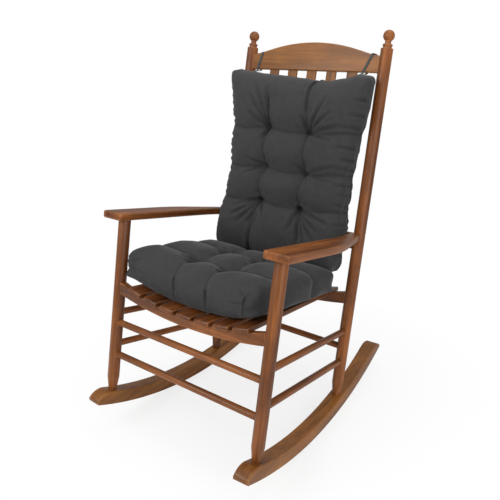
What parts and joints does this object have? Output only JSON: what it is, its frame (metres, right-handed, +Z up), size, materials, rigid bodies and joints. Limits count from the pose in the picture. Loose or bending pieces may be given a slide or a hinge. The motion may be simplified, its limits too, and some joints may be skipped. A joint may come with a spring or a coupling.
{
  "type": "rocking chair",
  "caption": "High-backed slat-seat porch rocking chair in turned and sawn hickory, with flat arms, ball finials, an arched crest rail and tufted seat and back cushions.",
  "frame": {"origin": "centre of the overall box's base: on the floor, midway between the rockers and midway between their front and back tips", "axes": "+X to the sitter's left, -Y to the front, +Z up"},
  "size_m": [0.658, 0.8603, 1.1558],
  "materials": {
    "turned_hickory": "satin",
    "sawn_hickory": "satin",
    "dowel_wood": "matte",
    "cushion_cloth": "matte",
    "tie_tape": "matte"
  },
  "bodies": {
    "root": {"rocker_left": "turned_hickory", "rocker_right": "turned_hickory", "front_post_left": "turned_hickory", "front_post_right": "turned_hickory", "back_post_left": "turned_hickory", "back_post_right": "turned_hickory", "arm_left": "sawn_hickory", "arm_right": "sawn_hickory", "seat_rail_front": "sawn_hickory", "seat_rail_back": "sawn_hickory", "seat_slat_1": "sawn_hickory", "seat_slat_2": "sawn_hickory", "seat_slat_3": "sawn_hickory", "seat_slat_4": "sawn_hickory", "seat_slat_5": "sawn_hickory", "seat_slat_6": "sawn_hickory", "seat_slat_7": "sawn_hickory", "crest_rail": "sawn_hickory", "lower_back_rail": "sawn_hickory", "back_slat_1": "sawn_hickory", "back_slat_2": "sawn_hickory", "back_slat_3": "sawn_hickory", "back_slat_4": "sawn_hickory", "back_slat_5": "sawn_hickory", "front_stretcher_low": "turned_hickory", "front_stretcher_high": "turned_hickory", "side_stretcher_left_low": "turned_hickory", "side_stretcher_left_high": "turned_hickory", "side_stretcher_right_low": "turned_hickory", "side_stretcher_right_high": "turned_hickory", "rear_stretcher": "turned_hickory", "arm_dowels": "dowel_wood", "seat_cushion": "cushion_cloth", "back_cushion": "cushion_cloth", "tie_left": "tie_tape", "tie_right": "tie_tape"}
  },
  "joints": []
}
